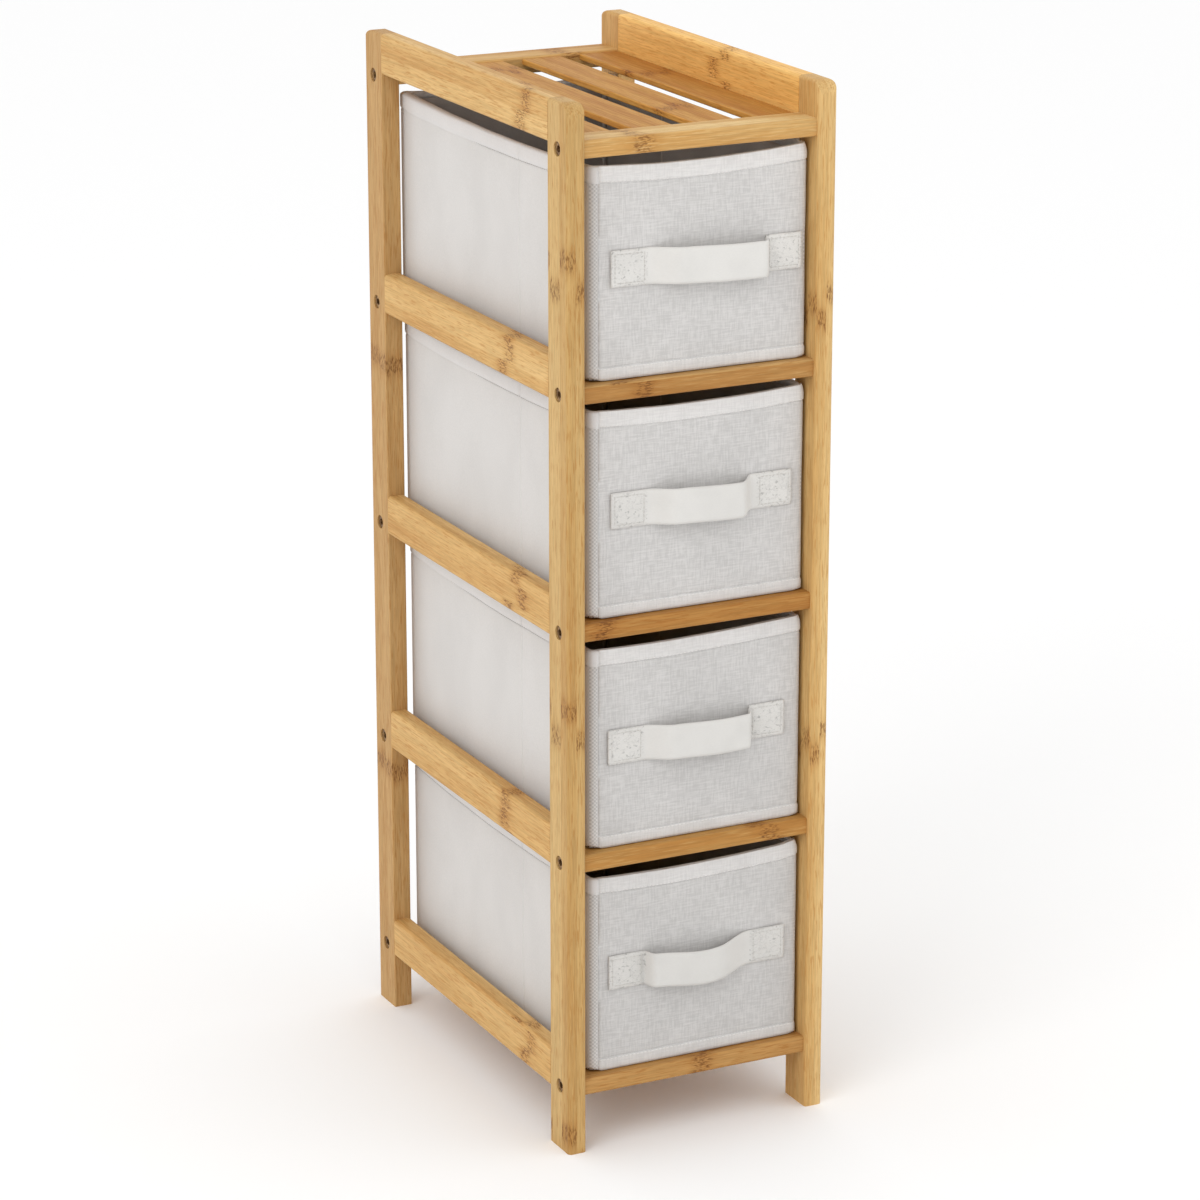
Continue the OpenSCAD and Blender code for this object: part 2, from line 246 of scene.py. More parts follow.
def bamboo(name, along, seed, culm_node, tone, tint, edge):
    """Laminated bamboo with its grain along one axis.

    culm_node is where along that axis the darker marks of the cane's joints lie. A higher tone makes the
    piece more amber, tint multiplies its colour, and edge makes the faces towards left and right paler
    than that: painted light, so that sides lying in dim gaps look lit.
    """
    mat, nodes, links, shader = new_material(name)
    t = Tree(nodes, links)
    xyz = t.position()
    a = xyz[along]
    across = [xyz[k] for k in range(3) if k != along]
    b = t.math("ADD", across[0], 0.0131 * seed)
    c = t.math("ADD", across[1], 0.0077 * seed)

    strip_b = t.math("FLOOR", t.math("DIVIDE", b, STRIP_W))
    strip_c = t.math("FLOOR", t.math("DIVIDE", c, STRIP_H))
    strip = t.random(t.vector(strip_b, strip_c, float(seed)))
    strip_2 = t.random(t.vector(strip_c, strip_b, seed + 0.5))

    # Slow changes of tone along a strip
    drift = t.noise(t.scaled((a, b, c), (5.0, 60.0, 60.0)), detail=3.0)
    # Fibres: long thin streaks, short dark dashes and pale ones between them
    streak = t.noise(t.scaled((a, b, c), (26.0, 750.0, 750.0)), detail=4.0, rough=0.65)
    dashes = t.ramp(t.noise(t.scaled((a, b, c), (70.0, 950.0, 950.0)), detail=3.0), 0.53, 0.65)
    pale = t.ramp(t.noise(t.scaled((a, b, c), (45.0, 900.0, 900.0)), detail=3.0), 0.54, 0.70)
    # Joints of the cane: in each strip a soft darker patch with a pair of rough rings in it
    shift = t.math("MULTIPLY", t.math("SUBTRACT", strip_2, 0.5), 0.030)
    wobble = t.math("MULTIPLY", t.noise(t.scaled((a, b, c), (25.0, 330.0, 330.0)), detail=3.0), 0.016)
    along_node = t.math("ADD", t.math("SUBTRACT", a, culm_node), t.math("ADD", shift, wobble))
    cell = t.math("DIVIDE", along_node, CULM_NODE_PITCH)
    near = t.math("SUBTRACT", cell, t.math("ROUND", cell))
    near = t.math("MULTIPLY", t.math("ABSOLUTE", near), CULM_NODE_PITCH)
    ring = t.ramp(t.math("ABSOLUTE", t.math("SUBTRACT", near, RING_FROM_JOINT)), 0.0036, 0.0004, 0.0, 0.85)
    between = t.ramp(near, 0.0110, 0.0025, 0.0, 0.75)
    halo = t.ramp(near, 0.018, 0.003)
    strokes = t.ramp(t.noise(t.scaled((a, b, c), (260.0, 1100.0, 1100.0)), detail=3.0), 0.45, 0.60)
    mark = t.math("MULTIPLY", t.math("MAXIMUM", ring, between), strokes)

    warm = t.math("ADD", t.math("MULTIPLY", strip, 0.42), t.math("MULTIPLY", drift, 0.85))
    warm = t.math("ADD", t.math("ADD", warm, tone), t.math("MULTIPLY", halo, 0.22))
    colour = t.mix(t.ramp(warm, 0.25, 0.80), BAMBOO_LIGHT, BAMBOO_MID)
    colour = t.mix(t.ramp(warm, 0.62, 1.20), colour, BAMBOO_AMBER)
    fibre = t.ramp(streak, 0.36, 0.68, 1.05, 0.85)
    colour = t.mix(1.0, colour, t.grey(fibre), "MULTIPLY")
    colour = t.mix(t.math("MULTIPLY", pale, 0.40), colour, BAMBOO_LIGHT)
    colour = t.mix(t.math("MULTIPLY", dashes, 0.66), colour, BAMBOO_AMBER)
    colour = t.mix(t.math("MULTIPLY", mark, 0.86), colour, BAMBOO_NODE)
    # Painted light: faces towards left and right get edge times the tint, so that sides in dim gaps look lit
    tint_and_painted_side_light = t.mix(t.ramp(t.facing_x(), 0.4, 0.8), dimmed(tint, 1.0), dimmed(tint, edge))
    links.new(t.mix(1.0, colour, tint_and_painted_side_light, "MULTIPLY"), shader.inputs["Base Color"])

    gloss = t.ramp(streak, 0.3, 0.7, 0.50, 0.62)
    links.new(gloss, shader.inputs["Roughness"])
    shader.inputs["Specular IOR Level"].default_value = 0.16
    shader.inputs["Coat Weight"].default_value = 0.03
    shader.inputs["Coat Roughness"].default_value = 0.30
    height = t.math("SUBTRACT", t.math("MULTIPLY", streak, 0.5), t.math("MULTIPLY", mark, 0.5))
    links.new(t.bump(height, 0.12 * MM, 0.6), shader.inputs["Normal"])
    return mat


def plain_wood(name, colour):
    """Turned hardwood for the dowels."""
    mat, nodes, links, shader = new_material(name)
    t = Tree(nodes, links)
    grain = t.noise(t.scaled(t.position(), (300.0, 300.0, 300.0)), detail=3.0)
    links.new(t.mix(grain, colour, dimmed(colour, 0.75)), shader.inputs["Base Color"])
    shader.inputs["Roughness"].default_value = 0.6
    return mat


def steel(name):
    """Dark bronze-coloured plating, worn brighter in patches."""
    mat, nodes, links, shader = new_material(name)
    t = Tree(nodes, links)
    wear = t.noise(t.scaled(t.position(), (260.0, 260.0, 260.0)), detail=4.0)
    plating = t.mix(t.ramp(wear, 0.45, 0.7), rgb(122, 92, 60), rgb(176, 142, 98))
    links.new(plating, shader.inputs["Base Color"])
    shader.inputs["Metallic"].default_value = 0.6
    links.new(t.ramp(wear, 0.3, 0.7, 0.32, 0.5), shader.inputs["Roughness"])
    links.new(t.bump(wear, 0.05 * MM, 0.4), shader.inputs["Normal"])
    return mat


# ---------------------------------------------------------------- fabrics

# The dots of the weave show in front of this, and up to this height in a drawer
DOTS_FROM = -164.0 * MM
DOTS_TOP = DRAWER_H - HEM_TOP - 1.0 * MM
DOT_PITCH = 3.0 * MM


def cloth_surface(shader, rough, specular, sheen):
    """A matt surface with a soft sheen."""
    shader.inputs["Roughness"].default_value = rough
    shader.inputs["Specular IOR Level"].default_value = specular
    shader.inputs["Sheen Weight"].default_value = sheen
    shader.inputs["Sheen Roughness"].default_value = 0.5


def smooth_cloth(name, colour, dark, twill=1.3 * MM, contrast=0.03, dots=0.0):
    """Thin plain cloth with a fine diagonal weave, slightly mottled.

    dots is how clearly the weave's dots show at a drawer's front.
    """
    mat, nodes, links, shader = new_material(name)
    t = Tree(nodes, links)
    x, y, z = t.position()
    along = t.math("ADD", x, y)
    rising, falling = t.math("ADD", along, z), t.math("SUBTRACT", along, z)
    weave = t.math("MULTIPLY", t.wave(rising, twill), t.wave(falling, twill))
    mottle = t.noise(t.scaled((x, y, z), (22.0, 22.0, 14.0)), detail=3.0)
    fuzz = t.noise(t.scaled((x, y, z), (900.0, 900.0, 900.0)), detail=2.0)
    base = t.mix(t.ramp(mottle, 0.3, 0.75), colour, dark)
    shade = t.math("ADD", t.math("MULTIPLY", weave, contrast), t.ramp(fuzz, 0.3, 0.7, 0.97, 1.02))
    dotted = t.ramp(t.math("MULTIPLY", t.wave(x, DOT_PITCH), t.wave(z, DOT_PITCH)), -0.5, 0.5)
    rise = t.math("FLOORED_MODULO", t.math("SUBTRACT", z, LOWEST), DRAWER_PITCH)
    strength = t.math("MULTIPLY", t.ramp(y, DOTS_FROM, DOTS_FROM - 1.5 * MM, 0.0, dots),
                      t.ramp(rise, DOTS_TOP + 0.5 * MM, DOTS_TOP - 0.5 * MM))
    shade = t.math("SUBTRACT", shade, t.math("MULTIPLY", dotted, strength))
    # Painted light: a touch paler towards the bottom of a drawer, to lift the shade there beside the rail
    # below
    shade = t.math("ADD", shade, t.ramp(rise, 26 * MM, 4 * MM, 0.0, 0.10))
    links.new(t.mix(1.0, base, t.grey(shade), "MULTIPLY"), shader.inputs["Base Color"])
    cloth_surface(shader, 0.85, 0.25, 0.15)
    height = t.math("ADD", t.math("MULTIPLY", weave, 0.5), fuzz)
    links.new(t.bump(height, 0.10 * MM, 0.6), shader.inputs["Normal"])
    return mat


def linen_cloth(name, colour, dark, light):
    """Coarse plain weave with uneven threads: short slubs across and up the cloth, the pale ones clearest."""
    mat, nodes, links, shader = new_material(name)
    t = Tree(nodes, links)
    x, y, z = t.position()
    along = t.math("ADD", x, y)

    def threads(along_scale, up_scale, seed):
        place = t.vector(t.math("MULTIPLY", along, along_scale), t.math("MULTIPLY", z, up_scale), seed)
        return t.noise(place, detail=3.0, rough=0.6)

    weft = threads(75.0, 780.0, 0.0)
    warp = threads(780.0, 85.0, 7.0)
    slub = t.math("MULTIPLY", t.math("ADD", weft, warp), 0.5)
    cloud = t.noise(t.scaled((x, y, z), (26.0, 26.0, 26.0)), detail=3.0)
    base = t.mix(t.ramp(slub, 0.40, 0.60), dark, light)
    base = t.mix(t.ramp(weft, 0.60, 0.72, 0.25, 0.0), base, colour)
    base = t.mix(1.0, base, t.grey(t.ramp(cloud, 0.3, 0.7, 0.965, 1.02)), "MULTIPLY")
    links.new(t.painted_shade_by_height(base, z), shader.inputs["Base Color"])
    cloth_surface(shader, 0.9, 0.2, 0.2)
    grid = t.math("MULTIPLY", t.wave(along, 0.9 * MM), t.wave(z, 0.9 * MM))
    height = t.math("ADD", t.math("MULTIPLY", grid, 0.25), slub)
    links.new(t.bump(height, 0.22 * MM, 0.8), shader.inputs["Normal"])
    return mat


def webbing_cloth(name, colour, dark, relief, specks=0.0):
    """Tightly woven flat tape: fine ribs across it, raised by relief.

    specks is how clearly needle marks show on it, and also how strong the painted shade along its creases is
    and how high the crinkles stand.
    """
    mat, nodes, links, shader = new_material(name)
    t = Tree(nodes, links)
    x, y, z = t.position()
    along = t.math("SUBTRACT", x, t.math("MULTIPLY", y, 0.7))
    weave = t.math("MULTIPLY", t.wave(along, 1.1 * MM), t.wave(z, 1.6 * MM))
    fuzz = t.noise(t.scaled((x, y, z), (500.0, 500.0, 900.0)), detail=2.0)
    cloud = t.noise(t.scaled((x, y, z), (40.0, 40.0, 40.0)), detail=2.0)
    base = t.mix(t.ramp(cloud, 0.35, 0.75), colour, dark)
    fuzzy = t.ramp(fuzz, 0.3, 0.7, 1 - 0.04 * relief, 1.01)
    shade = t.math("ADD", t.math("MULTIPLY", weave, 0.05 * relief), fuzzy)
    pricks = t.noise(t.scaled((x, y, z), (330.0, 330.0, 420.0)), detail=2.0)
    marks = t.ramp(pricks, 0.58, 0.70, 0.0, specks)
    crinkle = t.noise(t.scaled((x, y, z), (150.0, 150.0, 210.0)), detail=3.0)
    # Painted shade: thin darker lines along the crinkles, as if shade lay in their creases
    crease = t.ramp(t.math("ABSOLUTE", t.math("SUBTRACT", crinkle, 0.5)), 0.035, 0.0, 0.0, 0.4 * specks)
    shade = t.math("SUBTRACT", shade, t.math("ADD", marks, crease))
    links.new(t.painted_shade_by_height(t.mix(1.0, base, t.grey(shade), "MULTIPLY"), z), shader.inputs["Base Color"])
    cloth_surface(shader, 0.8, 0.25, 0.15)
    height = t.math("ADD", fuzz, t.math("MULTIPLY", crinkle, 14.0 * specks))
    height = t.math("ADD", t.math("MULTIPLY", weave, 0.6), height)
    links.new(t.bump(height, 0.20 * MM * relief, 0.6), shader.inputs["Normal"])
    return mat


def board_stuff(name, colour, dark):
    """Grey-brown pressed board, flecked."""
    mat, nodes, links, shader = new_material(name)
    t = Tree(nodes, links)
    fleck = t.noise(t.scaled(t.position(), (500.0, 500.0, 500.0)), detail=3.0)
    links.new(t.mix(t.ramp(fleck, 0.4, 0.7), colour, dark), shader.inputs["Base Color"])
    shader.inputs["Roughness"].default_value = 0.85
    links.new(t.bump(fleck, 0.08 * MM, 0.5), shader.inputs["Normal"])
    return mat


def flat_colour(name, colour, rough):
    """One colour, barely speckled."""
    mat, nodes, links, shader = new_material(name)
    t = Tree(nodes, links)
    tiny = t.noise(t.scaled(t.position(), (2500.0, 2500.0, 2500.0)), detail=1.0)
    links.new(t.mix(t.ramp(tiny, 0.3, 0.7), colour, dimmed(colour, 0.9)), shader.inputs["Base Color"])
    shader.inputs["Roughness"].default_value = rough
    return mat


COVER_MAT = smooth_cloth("side_cloth", rgb(209, 206, 203), rgb(204, 201, 198), dots=0.26)
SIDE_HEM_MAT = smooth_cloth("side_hem_cloth", rgb(214, 211, 209), rgb(210, 207, 205))
LINING_MAT = smooth_cloth(
    "dark_lining_cloth", rgb(174, 168, 163), rgb(160, 154, 149), 2.2 * MM, contrast=0.10
)
LINEN_MAT = linen_cloth("linen_cloth", rgb(203, 201, 199), rgb(193, 191, 189), rgb(213, 211, 209))
HEM_MAT = linen_cloth("linen_hem_cloth", rgb(218, 216, 214), rgb(211, 209, 207), rgb(225, 223, 221))
STRAP_MAT = webbing_cloth("webbing_tape", rgb(218, 216, 212), rgb(213, 211, 207), 0.3)
PATCH_MAT = webbing_cloth("webbing_sewn_down", rgb(221, 219, 215), rgb(214, 212, 208), 1.0, 0.30)
BOARD_MAT = board_stuff("grey_board", rgb(120, 108, 96), rgb(98, 88, 78))
THREAD_MAT = flat_colour("sewing_thread", rgb(238, 236, 233), 0.75)
STRAP_THREAD_MAT = flat_colour("strap_thread", rgb(202, 199, 193), 0.75)
SIDE_THREAD_MAT = flat_colour("side_hem_thread", rgb(172, 168, 163), 0.75)
SEAM_MAT = flat_colour("lining_seam_tape", rgb(196, 190, 184), 0.85)
STEEL_MAT = steel("bolt_plating")
DOWEL_MAT = plain_wood("dowel_beech", rgb(222, 196, 154))


# ---------------------------------------------------------------- materials on the solids that stay

PLAIN = (1.0, 1.0, 1.0)
# Tints of the front cross rails, from the bottom up
RAIL_TINTS = {
    1: (0.76, 0.66, 0.56),
    2: (0.86, 0.82, 0.72),
    3: (0.71, 0.57, 0.40),
    4: (0.80, 0.75, 0.70),
    5: (1.12, 1.24, 1.42),
}
SLAT_TINT = (0.85, 0.69, 0.40)
# Painted light: how much paler a slat's sides are than its top, because the gaps between the slats are dim
SLAT_SIDE_PAINTED_LIGHT = 1.3
# Along which axis a member's grain runs, where along it the cane joints show, how amber it is, and its tint
MEMBERS = {
    "front_left_post": (2, 0.694, 0.00, (0.85, 0.86, 0.86)),
    "back_left_post": (2, 0.560, 0.05, (0.80, 0.77, 0.80)),
    "front_right_post": (2, 0.650, 0.05, (1.02, 1.06, 1.12)),
    "back_right_post": (2, 0.610, 0.05, PLAIN),
    "left_top_rail": (1, -0.095, 0.05, PLAIN),
    # Painted light: the right top rail is tinted paler all over so that its inner face, which gets little
    # light, looks brightly lit
    "right_top_rail": (1, -0.020, 0.00, (1.28, 1.20, 0.95)),
    "top_shelf_slat_1": (1, 0.020, 0.10, SLAT_TINT),
    "top_shelf_slat_2": (1, 0.110, 0.20, SLAT_TINT),
    "top_shelf_slat_3": (1, -0.070, 0.12, SLAT_TINT),
    "top_shelf_slat_4": (1, 0.060, 0.22, SLAT_TINT),
}
# Where the joints show in the left side rails and the front cross rails, from the bottom up
RAIL_JOINTS = ((-0.090, 0.020), (-0.070, 0.070), (-0.080, -0.060), (-0.060, -0.045))
for _i, (_left, _front) in enumerate(RAIL_JOINTS, 1):
    MEMBERS[f"left_side_rail_{_i}"] = (1, _left, 0.05, PLAIN)
    MEMBERS[f"right_side_rail_{_i}"] = (1, _left + 0.11, 0.10, PLAIN)
    MEMBERS[f"front_cross_rail_{_i}"] = (0, _front, 0.16, RAIL_TINTS[_i])
    MEMBERS[f"back_cross_rail_{_i}"] = (0, _front + 0.09, 0.16, PLAIN)
    MEMBERS[f"shelf_{_i}_slats"] = (1, 0.04 * _i, 0.20, SLAT_TINT)
MEMBERS["front_cross_rail_5"] = (0, -0.050, 0.06, RAIL_TINTS[5])
MEMBERS["back_cross_rail_5"] = (0, 0.050, 0.14, PLAIN)


def paint(node, mat):
    """Give a solid that stays its material."""
    obj = frame["nodes"][node]
    if not obj.material_slots:
        obj.data.materials.append(mat)
    for slot in obj.material_slots:
        slot.material = mat


for _seed, (_node, (_axis, _at, _tone, _tint)) in enumerate(MEMBERS.items(), 1):
    _painted_side_light = SLAT_SIDE_PAINTED_LIGHT if "slat" in _node else 1.0
    paint(_node, bamboo(f"bamboo_{_node}", _axis, _seed, _at, _tone, _tint, _painted_side_light))
for _node in ("cross_bolts", "barrel_nuts"):
    paint(_node, STEEL_MAT)
paint("side_frame_dowels", DOWEL_MAT)
for _i in DRAWERS:
    paint(f"drawer_{_i}_wall_boards", BOARD_MAT)
    paint(f"drawer_{_i}_base_board", LINING_MAT)


# ---------------------------------------------------------------- mesh helpers


def smooth(t):
    """0 up to 0, 1 from 1 on, and an S-curve between."""
    t = min(1.0, max(0.0, t))
    return t * t * (3 - 2 * t)


def bell(t):
    """1 at 0 and 0 beyond -1 and 1."""
    return 1 - smooth(abs(t))


def mesh_object(name, verts, faces, mat, body, node=None):
    """A smooth mesh that rides on a body, and replaces a node where one is given."""
    mesh = bpy.data.meshes.new(name)
    mesh.from_pydata([tuple(v) for v in verts], [], faces)
    bm = bmesh.new()
    bm.from_mesh(mesh)
    bmesh.ops.recalc_face_normals(bm, faces=bm.faces)
    bm.to_mesh(mesh)
    bm.free()
    for p in mesh.polygons:
        p.use_smooth = True
    mesh.materials.append(mat)
    obj = bpy.data.objects.new(name, mesh)
    bpy.context.scene.collection.objects.link(obj)
    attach(obj, body)
    if node:
        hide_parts(node)
    return obj


def row_heights(low, top, lower, middle, upper):
    """Heights of rows of vertices: lower above low, upper below top, and middle even rows between them.

    lower and upper are in millimetres.
    """
    first, last = low + lower[-1] * MM, top - upper[-1] * MM
    even = [first + (last - first) * k / (middle + 1) for k in range(1, middle + 1)]
    return [low + h * MM for h in lower] + even + [top - h * MM for h in reversed(upper)]


def tube_faces(n_rings, n, first=0):
    """Faces of a tube closed at both ends, made of n_rings rings of n points each."""
    faces = []
    for r in range(n_rings - 1):
        low, high = first + r * n, first + (r + 1) * n
        for k in range(n):
            m = (k + 1) % n
            faces.append((low + k, low + m, high + m, high + k))
    last = first + (n_rings - 1) * n
    faces.append(tuple(reversed(range(first, first + n))))
    faces.append(tuple(range(last, last + n)))
    return faces


class Box:
    """A drawer's shape: its rounded outline, its rim and how its cloth stands, from its cover's place."""

    def __init__(self, i):
        lo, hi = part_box(f"drawer_{i}_cover")
        self.i = i
        self.body = f"drawer_{i}"
        self.lo, self.hi = Vector(lo), Vector(hi)
        self.centre = (self.lo + self.hi) / 2
        self.w, self.d = self.hi.x - self.lo.x, self.hi.y - self.lo.y
        self.z0, self.h = self.lo.z, DRAWER_H
        self.seed = 10.0 * i

    def outline(self, inset, step=5.0 * MM):
        """[(x, y, normal x, normal y, side)] anticlockwise seen from above, from the front's left end.

        The front has a pair of points where the linen starts, and the left side has some across its seam.
        """
        corner_steps = 5
        w, d = self.w / 2 - inset, self.d / 2 - inset
        r, soft = (max(v - inset, 0.8 * MM) for v in (CORNER_R, SOFT_CORNER_R))
        cx, cy = self.centre.x, self.centre.y
        points = []
        sides = (
            ("front", (-w + soft, -d), (w - r, -d), (0, -1)),
            ("right", (w, -d + r), (w, d - r), (1, 0)),
            ("back", (w - r, d), (-w + r, d), (0, 1)),
            ("left", (-w, d - r), (-w, -d + soft), (-1, 0)),
        )
        corners = (
            (w - r, -d + r, r, -90),
            (w - r, d - r, r, 0),
            (-w + r, d - r, r, 90),
            (-w + soft, -d + soft, soft, 180),
        )
        for (side, a, b, n), (ox, oy, radius, turn) in zip(sides, corners):
            length = math.hypot(b[0] - a[0], b[1] - a[1])
            count = round((self.d if side in ("left", "right") else self.w) / step)
            parts = [k / count for k in range(count + 1)]
            if side == "front":
                start = (PANEL_LEFT_INSET - self.w / 2 - a[0]) / length
                parts = sorted(parts + [start, start + SINK_LEN / length])
            if side == "left":
                seam = (a[1] + self.d / 2 - SEAM_FROM_FRONT) / length
                across = [seam + h * MM / length for h in SEAM_POINTS]
                parts = sorted([f for f in parts if abs(f - seam) * length > SEAM_ROOM] + across)
            for f in parts:
                x, y = cx + a[0] + (b[0] - a[0]) * f, cy + a[1] + (b[1] - a[1]) * f
                points.append((x, y, n[0], n[1], side))
            for k in range(1, corner_steps):
                ang = math.radians(turn + 90 * k / corner_steps)
                nx, ny = math.cos(ang), math.sin(ang)
                points.append((cx + ox + radius * nx, cy + oy + radius * ny, nx, ny, "corner"))
        return points

    def top(self, x, y):
        """Height of the sagging top edge above the drawer's bottom."""
        sx = (x - self.centre.x) / (self.w / 2)
        sy = (y - self.centre.y) / (self.d / 2)
        side_sag, front_sag, left_drop, right_drop, right_peak = SAGS[self.i]
        # How near the point is to a long side, to a short one and to the right one
        long_side = smooth((abs(sx) - 0.80) / 0.18)
        short_side = smooth((abs(sy) - 0.90) / 0.09)
        right_side = long_side if sx > 0 else 0.0
        sag = long_side * side_sag * (1 - sy * sy) * (1 - short_side)
        sag += short_side * front_sag * (1 - sx * sx)
        # The front's corners hang lower than the rest of the edge, or stand higher
        drops = left_drop * smooth((1 - sx) / 2) + right_drop * smooth((1 + sx) / 2)
        drops -= right_peak * right_side
        sag += drops * smooth(1 - (y - self.lo.y) / CORNER_DROP_LEN)
        behind = y - self.lo.y - RISE_AT
        rise = smooth(1 + behind / RISE_AT) * smooth(1 - behind / RISE_LEN)
        sag -= RIGHT_RISES[self.i] * right_side * rise
        ripple = RIPPLE * noise.noise(Vector((x * 28, y * 28, self.seed)))
        return self.h - RIPPLE + ripple - sag

    def lean(self, x, y, z):
        """How far the rim leans in at the front's right corner, at height z above the drawer's bottom."""
        near = smooth(1 - (y - self.lo.y) / LEAN_LEN) * smooth(1 - (self.hi.x - x) / LEAN_WIDTH)
        return -RIM_LEANS[self.i] * near * max(0.0, 1 - (self.top(x, y) - z) / LEAN_DEPTH) ** 1.5

    def corner_lift(self, x, y):
        """How far the bottom edge curves up at the two front corners."""
        near_front = smooth(1 - (y - self.lo.y) / LIFT_REACH)
        left = LEFT_LIFT * smooth(1 - (x - self.lo.x) / LIFT_REACH)
        right = RIGHT_LIFT * smooth(1 - (self.hi.x - x) / RIGHT_LIFT_REACH)
        return near_front * (left + right)

    def swell(self, x, y, z, side):
        """How far the cloth stands off its board: a slow bulge, and creases that fade at the edges."""
        if side not in BULGES:
            return 0.0
        f = min(1.0, max(0.0, (z - self.z0) / self.h))
        g = (x - self.centre.x) / (self.w / 2)
        if side in ("left", "right"):
            g = (y - self.centre.y) / (self.d / 2)
        lift = math.sin(math.pi * f) * (1 - g * g)
        bulge, depth = BULGES[side]
        crease = noise.noise(Vector((x * 30 + self.seed, y * 18, z * 14)))
        crease += 0.5 * noise.noise(Vector((x * 70, y * 60 + self.seed, z * 45)))
        return bulge * lift + depth * crease * smooth(lift * 3)


# How far the cloth bulges on each side of a drawer, and how deep its creases are
BULGES = {
    "front": (0.6 * MM, 0.30 * MM),
    "right": (0.9 * MM, 0.18 * MM),
    "back": (0.6 * MM, 0.18 * MM),
    "left": (1.3 * MM, 0.18 * MM),
}
# How far the front's two bottom corners curve up, and how far that reaches
LEFT_LIFT = 2.6 * MM
RIGHT_LIFT = 1.4 * MM
LIFT_REACH = 12 * MM
RIGHT_LIFT_REACH = 9 * MM
# How far the back end of the left side stands out, from the bottom drawer up
BACK_PUSH = {1: 0.0, 2: 1.0 * MM, 3: 3.0 * MM, 4: 4.4 * MM}
# How much the rim's height wavers
RIPPLE = 0.35 * MM
# How far the long and the short top edges sag, how far the front's left and right corners drop, and how far
# the right one peaks up again at its very end, in metres
SAGS = {
    1: (0.0046, 0.0030, 0.0028, 0.0010, 0.0014),
    2: (0.0046, 0.0020, 0.0034, 0.0, 0.0002),
    3: (0.0048, 0.0031, 0.0013, 0.0004, 0.0),
    4: (0.0050, 0.0038, 0.0006, -0.0011, 0.0),
}
# Length of the side's top edge over which a dropped corner rises again
CORNER_DROP_LEN = 45 * MM
# How far the right side's top edge stands up behind the front corner, how far back, and over what length
RIGHT_RISES = {1: 0.0, 2: 0.9 * MM, 3: 1.4 * MM, 4: 3.4 * MM}
RISE_AT = 16 * MM
RISE_LEN = 60 * MM
# How far the rim leans in at the front's right corner, and how far down, across and back that reaches
RIM_LEANS = {1: 2.4 * MM, 2: 2.0 * MM, 3: 1.5 * MM, 4: 2.0 * MM}
LEAN_DEPTH = 7 * MM
LEAN_WIDTH = 16 * MM
LEAN_LEN = 60 * MM


# ---------------------------------------------------------------- drawers


def hem_step(depth, hem, over):
    """1 in a hem that reaches down to hem, 0 below it, with a step over a short height between."""
    return smooth((hem - depth) / over + 0.5)


